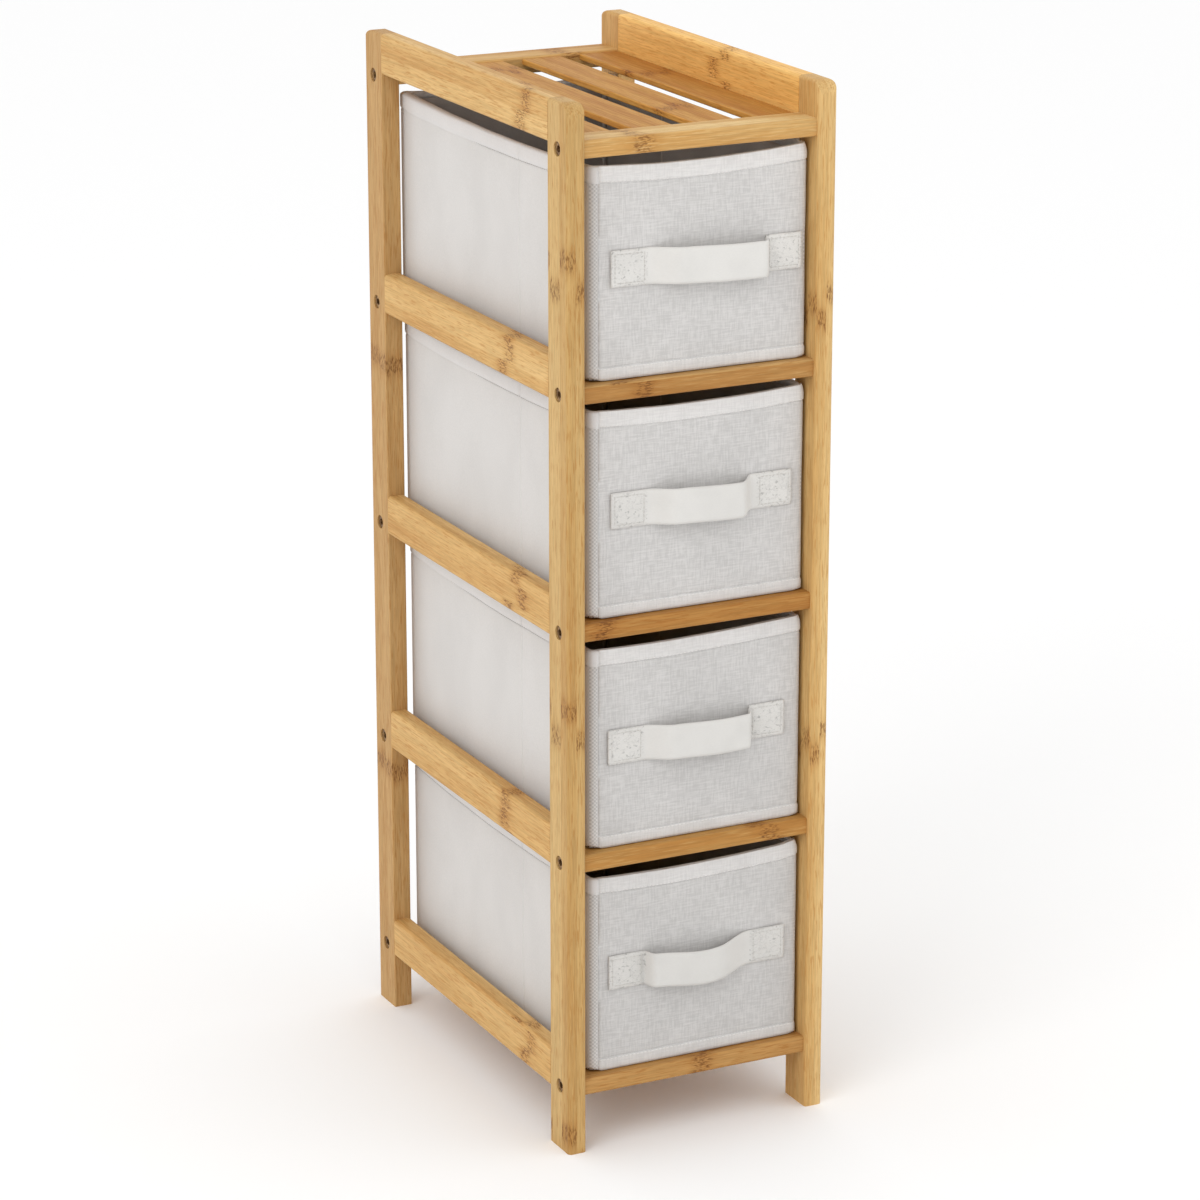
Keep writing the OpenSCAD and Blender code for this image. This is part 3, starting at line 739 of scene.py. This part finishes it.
def cover(box):
    """Side, back and bottom cloth with its folded hem: one closed skin, open at the top."""
    outline = box.outline(0.0)
    inner = box.outline(COVER_T)
    mouth = box.outline(WALL_T)
    n = len(outline)
    verts = []
    rings = 0
    # Clear of the boards
    inner_top = BOARD_TOP + 0.05 * MM
    # Radius of the bottom edge
    edge_r = 1.6 * MM
    # Half the height of the rounded hem
    hem_r = 2.1 * MM
    hem_rows = (0, 3, 6, 9, 11, 11.8, 12.3, 12.8, 13.3, 13.8, 14.3, 15, 16.5, 19)

    def ring(points, height, push):
        nonlocal rings
        for k in range(n):
            x, y, nx, ny, side = points[k]
            z, out = height(k), push(k)
            verts.append((x + nx * out + box.lean(x, y, z), y + ny * out, box.z0 + z))
        rings += 1

    def lift(k):
        return box.corner_lift(outline[k][0], outline[k][1])

    columns = [row_heights(edge_r, box.top(p[0], p[1]) - hem_r, (0, 6), 28, hem_rows) for p in outline]
    levels = len(columns[0])

    def outer(j, k):
        x, y, nx, ny, side = outline[k]
        z = columns[k][j]
        z += lift(k) * max(0.0, 1 - (z - edge_r) / (25 * MM))
        out = box.swell(x, y, box.z0 + z, side)
        depth = box.top(x, y) - z
        if side == "front":
            # Sunk under the linen, and doubled along the top beside it
            sink = smooth((x - box.lo.x - PANEL_LEFT_INSET) / SINK_LEN)
            out = HEM_T * hem_step(depth, HEM_TOP, 0.8 * MM) * (1 - sink) - PANEL_T * sink
        else:
            # The doubled cloth of the hem, and the groove of its seam
            out += 0.60 * MM * hem_step(depth, SIDE_HEM, 0.6 * MM)
            out -= 0.55 * MM * bell((depth - SIDE_HEM - 0.3 * MM) / (0.9 * MM))
        if side == "left":
            past = y - box.lo.y - SEAM_FROM_FRONT
            out += 0.40 * MM * bell(past / (2.0 * MM)) - 0.45 * MM * bell((past + 1.6 * MM) / (1.3 * MM))
            # The hem's ends meet above the seam
            notch = bell((past - HEM_JOIN_PAST_SEAM) / (2.4 * MM)) * hem_step(depth, SIDE_HEM, 0.8 * MM)
            out -= 2.0 * MM * notch
        if nx < 0:
            out += BACK_PUSH[box.i] * smooth((y - box.centre.y) / (box.d / 2)) * -nx
        return z, out

    # Rounded bottom edge
    for a in (0, 30, 60):
        ring(outline, lambda k: edge_r * (1 - math.cos(math.radians(a))) + lift(k),
             lambda k: -edge_r * (1 - math.sin(math.radians(a))))
    for j in range(levels):
        ring(outline, lambda k: outer(j, k)[0], lambda k: outer(j, k)[1])
    # Rounded hem
    for a in (30, 60, 90, 120, 150, 180):
        ca, sa = math.cos(math.radians(a)), math.sin(math.radians(a))

        def push(k):
            own = outer(levels - 1, k)[1]
            half = (WALL_T + own) / 2
            return own - half + half * ca

        def height(k):
            return box.top(outline[k][0], outline[k][1]) - hem_r + hem_r * sa

        ring(outline, height, push)
    ring(mouth, lambda k: inner_top, lambda k: 0.0)
    for z in (inner_top + 0.1 * MM, 80.0 * MM, COVER_T):
        ring(inner, lambda k: z, lambda k: 0.0)
    faces = tube_faces(rings, n)
    obj = mesh_object(f"{box.body}_cloth_cover", verts, faces, COVER_MAT, box.body,
                      f"{box.body}_cover")
    obj.data.materials.append(SIDE_HEM_MAT)
    for p in obj.data.polygons:
        c = p.center
        if box.top(c.x, c.y) - (c.z - box.z0) < SIDE_HEM - 0.3 * MM:
            p.material_index = 1


def front_panel(box):
    """Linen front with its folded hems, from a little inside the left edge to round the right-hand corner."""
    step = 2.2 * MM
    left = box.lo.x + PANEL_LEFT_INSET
    flat = box.w - CORNER_R - PANEL_LEFT_INSET
    bend = CORNER_R * math.pi / 2
    total = flat + bend
    count = round(total / step)
    lower = (0, 2, 4, 6, 8, 8.6, 9.0, 9.4, 9.8, 10.2, 10.6, 11.0, 11.8, 13, 15, 17)
    upper = (0, 0.6, 2, 4, 6, 8, 10, 11, 11.4, 11.8, 12.2, 12.6, 13.0, 13.4, 14, 15, 17)
    middle = 58
    levels = len(lower) + len(upper) + middle - 1
    hang = STRAPS[box.i]

    def place(s, out):
        """Point s along the front, out from the linen's own face."""
        if s <= flat:
            return left + s, box.lo.y - out
        ang = (s - flat) / CORNER_R
        cx, cy = box.hi.x - CORNER_R, box.lo.y + CORNER_R
        return cx + (CORNER_R + out) * math.sin(ang), cy - (CORNER_R + out) * math.cos(ang)

    def relief(s, z, x, y):
        depth = box.top(x, y) - (z - box.z0)
        rise = z - box.z0
        out = 0.25 * MM + box.swell(x, y, z, "front") * 0.8
        out += HEM_T * max(hem_step(depth, HEM_TOP, 0.6 * MM), hem_step(rise, HEM_BOTTOM, 0.6 * MM))
        out -= 0.45 * MM * bell((depth - HEM_TOP - 0.6 * MM) / (0.9 * MM))
        out -= 0.45 * MM * bell((rise - HEM_BOTTOM - 0.6 * MM) / (0.9 * MM))
        # The left edge is pressed flat
        out *= smooth((s + 0.8 * MM) / (2.4 * MM))
        # Puckers along the hems' seams
        pucker = noise.noise(Vector((s * 130, box.seed, 0.0)))
        near_seam = max(bell((depth - HEM_TOP) / (9 * MM)), bell((rise - HEM_BOTTOM) / (9 * MM)))
        out += 0.22 * MM * pucker * near_seam
        # Dents where the strap's ends pull the cloth
        for end in (hang.left, hang.right):
            reach = math.hypot(x - box.centre.x - end, (rise - hang.middle) * 0.8)
            out -= 0.35 * MM * bell(reach / (26 * MM))
        return out

    columns = []
    for k in range(count + 1):
        x, y = place(total * k / count, 0.0)
        columns.append(row_heights(0.4 * MM + box.corner_lift(x, y), box.top(x, y), lower, middle, upper))
    outer, back = [], []
    for j in range(levels + 1):
        for k in range(count + 1):
            s = total * k / count
            x, y = place(s, 0.0)
            z = box.z0 + columns[k][j]
            lean = box.lean(x, y, columns[k][j])
            px, py = place(s, relief(s, z, x, y))
            outer.append((px + lean, py, z))
            px, py = place(s, 0.03 * MM - 0.75 * PANEL_T * smooth(s / SINK_LEN))
            back.append((px + lean, py, z))
    w = count + 1
    m = len(outer)
    faces = []
    for j in range(levels):
        for k in range(count):
            a = j * w + k
            faces.append((a, a + 1, a + 1 + w, a + w))
            faces.append((m + a + w, m + a + 1 + w, m + a + 1, m + a))
    for k in range(count):
        faces.append((k + 1, k, m + k, m + k + 1))
        a = levels * w + k
        faces.append((a, a + 1, m + a + 1, m + a))
    for j in range(levels):
        a = j * w
        faces.append((a, a + w, m + a + w, m + a))
        a = j * w + count
        faces.append((a + w, a, m + a, m + a + w))
    obj = mesh_object(f"{box.body}_linen_front", outer + back, faces, LINEN_MAT, box.body,
                      f"{box.body}_front_panel")
    obj.data.materials.append(HEM_MAT)
    for p in obj.data.polygons:
        c = p.center
        depth = box.top(c.x, c.y) - (c.z - box.z0)
        if depth < HEM_TOP or c.z - box.z0 < HEM_BOTTOM:
            p.material_index = 1


def lining(box):
    """Dark inner cloth, a little slack between its seams."""
    outer = box.outline(WALL_T - LINING_T, step=6 * MM)
    inner = box.outline(WALL_T, step=6 * MM)
    n = len(outer)
    verts = []
    floor = COVER_T
    levels = 22
    rings = 0

    def ring(points, z, inward=None):
        nonlocal rings
        for k in range(n):
            x, y, nx, ny, side = points[k]
            out = -inward(x, y, z, side) if inward else 0.0
            verts.append((x + nx * out, y + ny * out, box.z0 + z))
        rings += 1

    def slack(x, y, z, side):
        if side == "corner":
            return 0.0
        f = (z - floor) / (BOARD_TOP - floor)
        lift = math.sin(math.pi * f)
        bumpy = noise.noise(Vector((x * 24, y * 20 + box.seed, z * 16)))
        return (0.55 * MM + 0.5 * MM * bumpy) * lift

    for z in (floor, 60 * MM, 110 * MM, BOARD_TOP):
        ring(outer, z)
    for j in range(levels + 1):
        ring(inner, BOARD_TOP + (floor + LINING_T - BOARD_TOP) * j / levels, slack)
    mesh_object(f"{box.body}_cloth_lining", verts, tube_faces(rings, n), LINING_MAT, box.body,
                f"{box.body}_lining")


def seam_tape(box, name, x, y, nx, ny, width):
    """A narrow raised strip down the inside of a wall, with rounded edges."""
    # Its two ends above the drawer's bottom, and how far it stands out
    low, high, proud = 8 * MM, BOARD_TOP - 1 * MM, 0.9 * MM
    tx, ty = -ny, nx
    profile = [(-width / 2, 0), (-width / 2, 0.6 * proud), (-0.3 * width, proud), (0.3 * width, proud),
               (width / 2, 0.6 * proud), (width / 2, 0)]
    levels = 30
    verts = []
    for j in range(levels + 1):
        z = low + (high - low) * j / levels
        wave = 0.25 * MM * noise.noise(Vector((z * 60, box.seed, x * 10)))
        for a, b in profile:
            verts.append((x + tx * (a + wave) + nx * b, y + ty * (a + wave) + ny * b, box.z0 + z))
    faces = tube_faces(levels + 1, len(profile))
    mesh_object(f"{box.body}_{name}", verts, faces, SEAM_MAT, box.body)


# ---------------------------------------------------------------- straps

# A strap's width and thickness, how far it bows out, and the length of its sewn ends
STRAP_W = 27.5 * MM
STRAP_T = 1.6 * MM
STRAP_BOW = 10.2 * MM
PATCH_LEN = 30.0 * MM


class Strap:
    """How one strap hangs, in millimetres.

    ends are its ends along x from the drawer's middle, heights those of its middle line at each end,
    flat_right is the length that lies flat at the right, and lifts are the lengths over which it lifts off.
    It droops by droop, most at the share droop_at of its free length. step is how far it has dropped where
    it is folded back at the right.
    """

    def __init__(self, ends, heights, flat_right, lifts, droop, droop_at, step=0.0):
        self.left, self.right = (v * MM for v in ends)
        self.height_left, self.height_right = (v * MM for v in heights)
        self.middle = (self.height_left + self.height_right) / 2
        self.flat_right = flat_right * MM
        self.lift_left, self.lift_right = (v * MM for v in lifts)
        self.droop, self.droop_at, self.step = droop * MM, droop_at, step * MM


STRAPS = {
    1: Strap((-73.9, 77.1), (79.3, 79.8), 30, (5, 33), 5.0, 0.53),
    2: Strap((-74.7, 74.6), (79.4, 82.0), 30, (22, 5), 0.6, 0.55, 2.9),
    3: Strap((-72.5, 78.4), (81.9, 82.8), 34, (22, 13), 0.0, 0.60, 2.3),
    4: Strap((-72.6, 84.4), (82.7, 82.3), 30, (26, 4), 0.2, 0.60, 1.7),
}


def strap_path(box):
    """[(x, y of the back face, z)] along the strap."""
    s = STRAPS[box.i]
    points = []
    count = 90
    free_lo, free_hi = s.left + PATCH_LEN, s.right - s.flat_right
    for k in range(count + 1):
        x = s.left + (s.right - s.left) * k / count
        lift = STRAP_BOW * smooth((x - free_lo) / s.lift_left) * smooth((free_hi - x) / s.lift_right)
        f = (x - free_lo) / (free_hi - free_lo)
        height = s.height_left + (s.height_right - s.height_left) * min(1.0, max(0.0, f))
        if 0 < f < 1:
            g = f / s.droop_at if f < s.droop_at else (1 - f) / (1 - s.droop_at)
            height -= s.droop * smooth(g)
            height -= s.step * smooth((f - 0.2) / 0.6) * smooth((free_hi - x) / s.lift_right)
        points.append((box.centre.x + x, box.lo.y - STAND_OFF - lift, box.z0 + height))
    return points


def strap(box):
    """Webbing: a flat band with slightly thicker woven edges, sewn at both ends."""
    path = strap_path(box)
    across = 12
    verts = []
    for k, (x, y, z) in enumerate(path):
        before, after = path[max(k - 1, 0)], path[min(k + 1, len(path) - 1)]
        tx, ty = after[0] - before[0], after[1] - before[1]
        length = math.hypot(tx, ty)
        nx, ny = ty / length, -tx / length
        ring = []
        for j in range(across + 1):
            f = j / across
            edge = 0.12 * MM * bell(min(f, 1 - f) / 0.10)
            wave = 0.10 * MM * noise.noise(Vector((x * 90, f * 3, box.seed)))
            t = STRAP_T + edge + wave
            if j in (0, across):
                t = 0.65 * STRAP_T
            ring.append((x + nx * t, y + ny * t, z + STRAP_W * (f - 0.5)))
        for j in range(across, -1, -1):
            f = j / across
            t = 0.0 if 0 < j < across else 0.35 * STRAP_T
            ring.append((x + nx * t, y + ny * t, z + STRAP_W * (f - 0.5)))
        verts += ring
    faces = tube_faces(len(path), 2 * (across + 1))
    obj = mesh_object(f"{box.body}_webbing_strap", verts, faces, STRAP_MAT, box.body,
                      f"{box.body}_handle_strap")
    obj.data.materials.append(PATCH_MAT)
    s = STRAPS[box.i]
    for p in obj.data.polygons:
        x = p.center.x - box.centre.x
        if x < s.left + PATCH_LEN or x > s.right - PATCH_LEN:
            p.material_index = 1


# ---------------------------------------------------------------- stitches


def stitches(box, name, line, mat, pitch=STITCH_PITCH):
    """A row of raised stitches along line, a list of (point, outward normal)."""
    # Rings of a stitch: place along it, height and thickness, as shares of its length and radius
    rings = ((-0.5, -0.2, 0.5), (-0.25, 0.75, 1.0), (0.25, 0.75, 1.0), (0.5, -0.2, 0.5))
    corners = (0, 90, 180, 270)
    verts, faces = [], []
    travelled = 0.0
    next_at = pitch / 2
    for (p, n), (q, _) in zip(line, line[1:]):
        p, q, n = Vector(p), Vector(q), Vector(n)
        seg = (q - p).length
        if seg < 1e-9:
            continue
        along = (q - p) / seg
        side = along.cross(n).normalized()
        while next_at <= travelled + seg:
            c = p + along * (next_at - travelled)
            faces += tube_faces(len(rings), len(corners), first=len(verts))
            for f, h, w in rings:
                m = c + along * (f * STITCH_LEN) + n * (h * THREAD_R)
                for ang in corners:
                    a = math.radians(ang)
                    verts.append(m + side * (w * THREAD_R * math.cos(a)) + n * (w * THREAD_R * math.sin(a)))
            next_at += pitch
        travelled += seg
    mesh_object(f"{box.body}_{name}", verts, faces, mat, box.body)


def front_line(box, heights):
    """Points just above the linen, from its left edge to the right-hand corner, heights(x) up."""
    line = []
    for k in range(61):
        x = box.lo.x + PANEL_LEFT_INSET + (box.w - PANEL_LEFT_INSET - CORNER_R) * k / 60
        line.append(((x, box.lo.y - STAND_OFF, box.z0 + heights(x)), (0, -1, 0)))
    return line


def side_line(box, side, depth):
    """Points along a long side, depth below the rim."""
    line = []
    x = box.lo.x if side == "left" else box.hi.x
    n = -1 if side == "left" else 1
    for k in range(81):
        y = box.lo.y + CORNER_R + (box.d - 2 * CORNER_R) * k / 80
        z = box.top(x, y) - depth
        out = box.swell(x, y, box.z0 + z, side)
        line.append(((x + n * (out + 0.12 * MM), y, box.z0 + z), (n, 0, 0)))
    return line


def hem_join(box):
    """The line where the left hem's two ends meet, above the side's seam."""
    y = box.lo.y + SEAM_FROM_FRONT + HEM_JOIN_PAST_SEAM
    top = box.top(box.lo.x, y)
    line = []
    for k in range(9):
        z = top - SIDE_HEM + (SIDE_HEM - 1.5 * MM) * k / 8
        out = box.swell(box.lo.x, y, box.z0 + z, "left") - 1.2 * MM
        line.append(((box.lo.x - out, y, box.z0 + z), (-1, 0, 0)))
    stitches(box, "left_hem_join", line, SIDE_THREAD_MAT, STITCH_LEN)


def strap_stitches(box):
    """A box of stitches round each sewn end of the strap."""
    s = STRAPS[box.i]
    front = box.lo.y - STAND_OFF - STRAP_T - 0.05 * MM
    inset = 3.0 * MM
    for end, name, height in ((s.left, "left", s.height_left), (s.right, "right", s.height_right)):
        inward = 1 if end == s.left else -1
        x0 = box.centre.x + end + inward * inset
        x1 = box.centre.x + end + inward * (PATCH_LEN - inset)
        z0, z1 = box.z0 + height - STRAP_W / 2 + inset, box.z0 + height + STRAP_W / 2 - inset
        corners = [(x0, z0), (x0, z1), (x1, z1), (x1, z0), (x0, z0)]
        line = [((x, front, z), (0, -1, 0)) for x, z in corners]
        stitches(box, f"strap_stitches_{name}", line, STRAP_THREAD_MAT)


def drawer(i):
    """All the cloth, webbing and thread of one drawer."""
    box = Box(i)
    cover(box)
    front_panel(box)
    lining(box)
    strap(box)
    strap_stitches(box)
    top_line = front_line(box, lambda x: box.top(x, box.lo.y) - HEM_TOP + 0.6 * MM)
    bottom_line = front_line(box, lambda x: HEM_BOTTOM - 0.6 * MM)
    stitches(box, "top_hem_stitches", top_line, THREAD_MAT)
    stitches(box, "bottom_hem_stitches", bottom_line, THREAD_MAT)
    for side in ("left", "right"):
        stitches(box, f"{side}_hem_stitches", side_line(box, side, SIDE_HEM), SIDE_THREAD_MAT)
    hem_join(box)
    right, left = box.hi.x - WALL_T, box.lo.x + WALL_T
    seam_tape(box, "right_wall_seam", right, box.lo.y + RIGHT_SEAM_FROM_FRONT, -1, 0, 1.6 * MM)
    seam_tape(box, "left_wall_seam", left, box.lo.y + SEAM_FROM_FRONT, 1, 0, 1.6 * MM)
    for x, name in ((right - CORNER_SEAM_IN, "right"), (left + CORNER_SEAM_IN, "left")):
        seam_tape(box, f"back_{name}_corner_seam", x, box.hi.y - WALL_T, 0, -1, 3.0 * MM)


for _i in DRAWERS:
    drawer(_i)


# ---------------------------------------------------------------- room, light and camera


def floor():
    """A plain pale floor that runs out of the picture."""
    mesh = bpy.data.meshes.new("floor")
    half = 30.0
    corners = [(-half, -half, 0), (half, -half, 0), (half, half, 0), (-half, half, 0)]
    mesh.from_pydata(corners, [], [(0, 1, 2, 3)])
    mat, nodes, links, shader = new_material("floor_white")
    shader.inputs["Base Color"].default_value = (0.97, 0.97, 0.97, 1)
    shader.inputs["Roughness"].default_value = 1.0
    mesh.materials.append(mat)
    obj = bpy.data.objects.new("floor", mesh)
    bpy.context.scene.collection.objects.link(obj)


def area_light(name, place, target, size, power):
    """A square white lamp that points at target."""
    light = bpy.data.lights.new(name, "AREA")
    light.shape = "SQUARE"
    light.size, light.energy = size, power
    obj = bpy.data.objects.new(name, light)
    obj.location = place
    obj.rotation_mode = "QUATERNION"
    obj.rotation_quaternion = (Vector(target) - Vector(place)).to_track_quat("-Z", "Y")
    bpy.context.scene.collection.objects.link(obj)


def world(strength):
    """Even white light from all round."""
    w = bpy.data.worlds.new("studio")
    w.use_nodes = True
    w.node_tree.nodes["Background"].inputs[0].default_value = (1, 1, 1, 1)
    w.node_tree.nodes["Background"].inputs[1].default_value = strength
    bpy.context.scene.world = w


# The camera's place in metres, its angles in degrees and its lens in millimetres
CAMERA_AT = (-1.437, -2.911, 1.384)
CAMERA_YAW = 26.36
CAMERA_PITCH = -17.21
CAMERA_LENS = 130.2


def camera():
    data = bpy.data.cameras.new("camera")
    data.sensor_width = 36.0
    data.lens = CAMERA_LENS
    obj = bpy.data.objects.new("camera", data)
    obj.location = CAMERA_AT
    obj.rotation_euler = (math.radians(90 + CAMERA_PITCH), 0, math.radians(-CAMERA_YAW))
    bpy.context.scene.collection.objects.link(obj)
    bpy.context.scene.camera = obj


# Near the middle of the tower, where the lamps point
TOWER_MIDDLE = (0, 0, 0.4)

floor()
world(1.0)
area_light("key", (-3.0, -1.9, 2.6), TOWER_MIDDLE, 2.2, 32)
area_light("fill", (2.6, -2.2, 1.6), TOWER_MIDDLE, 2.0, 5)
camera()
bpy.context.scene.view_settings.view_transform = "Standard"
